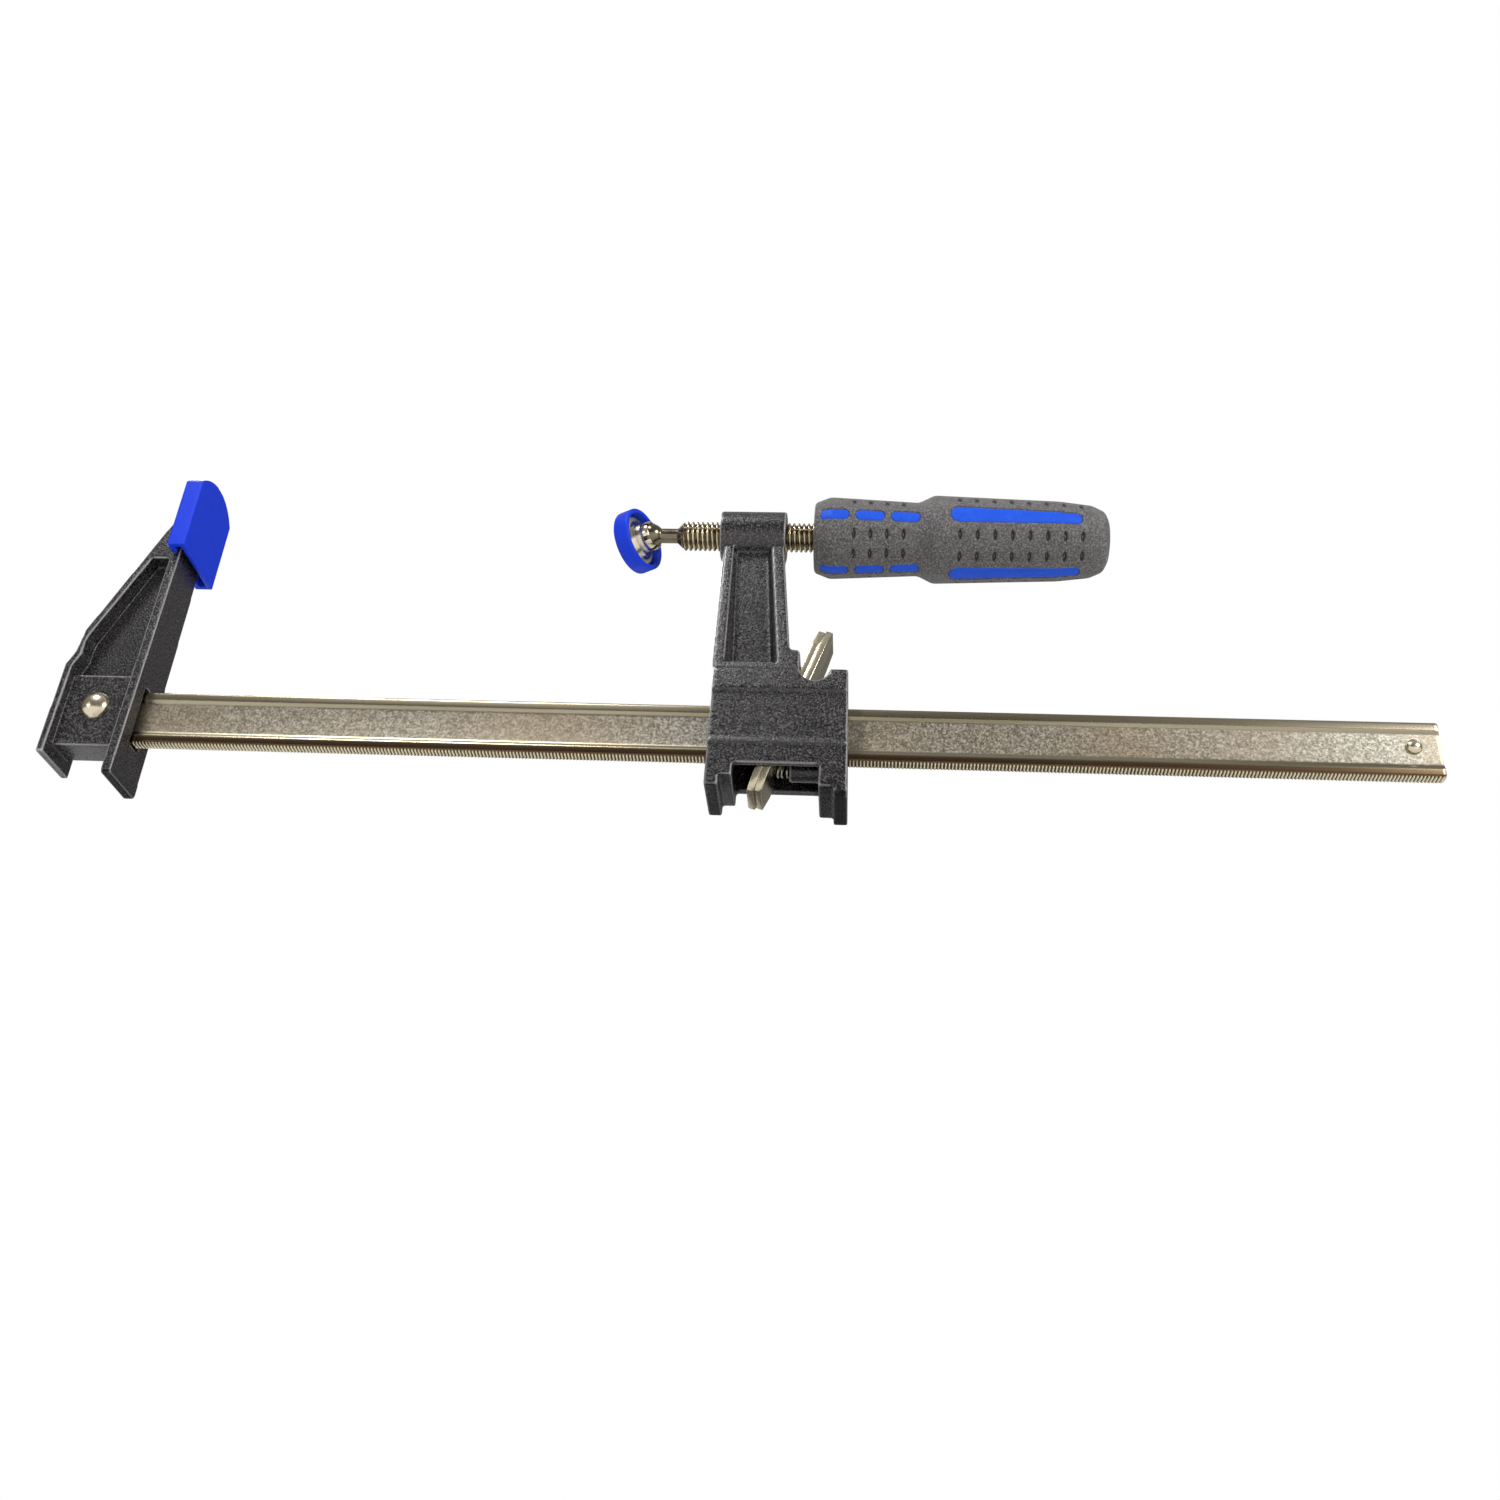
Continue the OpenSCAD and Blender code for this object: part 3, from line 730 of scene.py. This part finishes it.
DIMPLE_ROWS = [TAU / 8 + TAU / 4 * i + side * math.radians(15) for i in range(4) for side in (-1, 1)]


def grip_profile():
    points = [(x, HANDLE_R / MM - drop) for x, drop in GRIP_OUTLINE]
    return np.array(soften(points, 1.5, 6))


def grip_radius(x):
    """The grip's smooth radius, in millimetres, at a distance from its left end."""
    profile = grip_profile()
    on_side = profile[1:-1]
    return np.interp(x, on_side[:, 0], on_side[:, 1])


def inlay_half_width(x, inlay):
    """Half the width of an inlay at x, with round ends; below 0 past its ends."""
    start, end, half0, half1 = inlay
    share = np.clip((x - start - half0) / (end - half1 - start - half0), 0, 1)
    straight = half0 + share * (half1 - half0)
    past = np.maximum(start + half0 - x, 0)
    past = np.maximum(past, x - (end - half1))
    return np.sqrt(np.maximum(straight**2 - np.maximum(past, 0) ** 2, 0))


def wrapped(angle):
    return (angle + TAU / 2) % TAU - TAU / 2


def grip_shape():
    """The rubber grip, with windows sunk for the inlays and two rows of dimples between them."""
    around = 480
    angle = np.arange(around) * TAU / around
    profile = grip_profile()
    ends = profile[(profile[:, 0] < 6.0) | (profile[:, 0] > 118)]
    inside = np.arange(6.2, 118, 0.3)
    left = [p for p in ends if p[0] < 60]
    right = [p for p in ends if p[0] > 60]
    line = [*left, *[(x, float(grip_radius(x))) for x in inside], *right]
    rings = []
    for x, radius in line:
        r = np.full(around, radius)
        if 1.2 < x < 122:
            for turn in INLAY_TURNS:
                across = np.abs(wrapped(angle - turn)) * radius
                for inlay in INLAYS:
                    half = float(inlay_half_width(x, inlay))
                    if half > 0:
                        r -= WINDOW_DEPTH * (1 - smoothstep(across - half, -0.1, 0.45))
            for row in DIMPLE_ROWS:
                across = wrapped(angle - row) * radius / DIMPLE_HALF_W
                for centre in DIMPLES:
                    along = (x - centre) / DIMPLE_HALF_L
                    if abs(along) < 1.3:
                        reach = np.sqrt(across**2 + along**2)
                        r -= DIMPLE_DEPTH * (1 - smoothstep(reach, 0.45, 1.0))
        y, z = r * MM * np.cos(angle), r * MM * np.sin(angle)
        rings.append(np.stack([np.full(around, HANDLE_X + x * MM), y, z], axis=-1))
    return skin(np.array(rings))


def inlay_shape(turn, inlay):
    """One raised strip of the blue core, crowned with the grip's surface."""
    start, end, half0, half1 = inlay
    nose = np.linspace(0, TAU / 4, 9)
    xs = [start + 0.02 + half0 * (1 - math.cos(a)) for a in nose]
    xs += list(np.linspace(start + half0, end - half1, 30))[1:-1]
    xs += [end - 0.02 - half1 * (1 - math.cos(a)) for a in reversed(nose)]
    columns = np.linspace(-1, 1, 13)
    rings = []
    for x in xs:
        half = max(float(inlay_half_width(x, inlay)), 0.05)
        surface = float(grip_radius(x)) - 0.12
        tip = min(x - start, end - x)
        drop = 0.35 * (1 - float(smoothstep(tip, 0, 0.6)))
        top = []
        for t in columns:
            edge = half * (1 - abs(t))
            r = surface - drop - 0.35 * (1 - float(smoothstep(edge, 0, 0.55)))
            top.append((r, turn + t * half / surface))
        under = [(surface - 1.6, turn + t * half / surface) for t in (1, 0, -1)]
        rings.append(
            [(HANDLE_X + x * MM, r * MM * math.cos(a), r * MM * math.sin(a)) for r, a in top + under]
        )
    return skin(np.array(rings))


def core_shape():
    """The core under the rubber, and the strips of it that show through the grip."""
    profile = [(x, r - 2.3) for x, r in grip_profile() if 3 < x < 123]
    body = [(3.0, 7.0), *profile, (123.0, 0.0)]
    turned_body = lathe([(HANDLE_X + x * MM, max(r, 0) * MM) for x, r in body], 96)
    strips = [inlay_shape(turn, inlay) for turn in INLAY_TURNS for inlay in INLAYS]
    return joined(turned_body, *strips)


add_piece("grip", grip_shape(), "screw", RUBBER, "handle_grip", sharp=60)
add_piece("core", core_shape(), "screw", INLAY, "handle_core", sharp=50)


# ---------- stage, light and camera ----------


def add_floor():
    """A pale floor under the feet. It is clear from below, where the main view looks from."""
    size = 3.0
    mesh = bpy.data.meshes.new("floor")
    corners = [(-size, -size), (size, -size), (size, size), (-size, size)]
    mesh.from_pydata([(x, y, FLOOR_Z) for x, y in corners], [], [(0, 1, 2, 3)])
    floor = bpy.data.objects.new("floor", mesh)
    bpy.context.scene.collection.objects.link(floor)
    s = Shader("floor_paper")
    s.bsdf.inputs["Base Color"].default_value = (0.86, 0.86, 0.85, 1)
    s.bsdf.inputs["Roughness"].default_value = 0.8
    below = s.nodes.new("ShaderNodeNewGeometry").outputs["Backfacing"]
    # Open to very short rays too, so the undersides of the feet aren't black
    reach = s.nodes.new("ShaderNodeLightPath").outputs["Ray Length"]
    near = s.math("LESS_THAN", reach, 12 * MM)
    below = s.math("MAXIMUM", below, near)
    clear = s.nodes.new("ShaderNodeBsdfTransparent")
    choice = s.nodes.new("ShaderNodeMixShader")
    s.links.new(below, choice.inputs["Fac"])
    s.links.new(s.bsdf.outputs["BSDF"], choice.inputs[1])
    s.links.new(clear.outputs["BSDF"], choice.inputs[2])
    s.links.new(choice.outputs["Shader"], s.nodes["Material Output"].inputs["Surface"])
    mesh.materials.append(s.material)


def add_area(name, place, target, size, power):
    light = bpy.data.lights.new(name, "AREA")
    light.shape = "DISK"
    light.size = size
    light.energy = power
    lamp = bpy.data.objects.new(name, light)
    bpy.context.scene.collection.objects.link(lamp)
    lamp.location = place
    lamp.rotation_euler = (Vector(target) - Vector(place)).to_track_quat("-Z", "Y").to_euler()


def add_world():
    """White to the eye, and a soft studio gradient for light and reflections."""
    world = bpy.data.worlds.new("studio")
    world.use_nodes = True
    bpy.context.scene.world = world
    nodes, links = world.node_tree.nodes, world.node_tree.links
    background = nodes["Background"]
    direction = nodes.new("ShaderNodeTexCoord").outputs["Generated"]
    split = nodes.new("ShaderNodeSeparateXYZ")
    links.new(direction, split.inputs["Vector"])
    ramp = nodes.new("ShaderNodeValToRGB")
    lift = nodes.new("ShaderNodeMapRange")
    lift.inputs["From Min"].default_value = -1
    links.new(split.outputs["Z"], lift.inputs["Value"])
    links.new(lift.outputs["Result"], ramp.inputs["Fac"])
    stops = ramp.color_ramp.elements
    stops[0].position, stops[0].color = 0.50, (0.14, 0.14, 0.145, 1)
    stops[1].position, stops[1].color = 0.95, (0.40, 0.40, 0.40, 1)
    middle = stops.new(0.74)
    middle.color = (0.20, 0.195, 0.185, 1)
    seen = nodes.new("ShaderNodeLightPath").outputs["Is Camera Ray"]
    mix = nodes.new("ShaderNodeMix")
    mix.data_type = "RGBA"
    sockets = {s.name: s for s in mix.inputs if s.enabled}
    links.new(seen, sockets["Factor"])
    links.new(ramp.outputs["Color"], sockets["A"])
    sockets["B"].default_value = (1, 1, 1, 1)
    links.new([s for s in mix.outputs if s.enabled][0], background.inputs["Color"])
    background.inputs["Strength"].default_value = 1.0


def add_camera():
    """A camera below the clamp and in front of it, looking up at its front side."""
    lens, sensor = 36.6, 36.0
    yaw, pitch, roll = (math.radians(a) for a in (5.347, -29.784, 4.156))
    place = Vector((301.4, -531.5, -413.2)) * MM
    base = Matrix(((1, 0, 0), (0, 0, -1), (0, 1, 0)))
    turn = (
        Matrix.Rotation(roll, 3, "Z")
        @ Matrix.Rotation(pitch, 3, "X")
        @ Matrix.Rotation(yaw, 3, "Y")
        @ base
    )
    right, down, ahead = turn
    axes = Matrix((right, -down, -ahead)).transposed()
    data = bpy.data.cameras.new("camera")
    data.lens = lens
    data.sensor_width = sensor
    data.clip_start = 0.01
    camera = bpy.data.objects.new("camera", data)
    camera.matrix_world = Matrix.Translation(place) @ axes.to_4x4()
    bpy.context.scene.collection.objects.link(camera)
    bpy.context.scene.camera = camera


add_floor()
add_world()
add_area("key", (-0.35, -0.9, 1.25), (0.25, 0, -0.06), 0.4, 15)
add_area("fill", (1.2, -0.9, 0.35), (0.25, 0, -0.06), 0.5, 11)
add_area("low", (-0.7, -0.9, 0.05), (0.2, 0, -0.08), 0.3, 0.8)
add_area("rim", (-0.75, 1.0, 1.1), (0.25, 0, -0.06), 0.6, 14)
add_camera()
bpy.context.scene.view_settings.view_transform = "Standard"
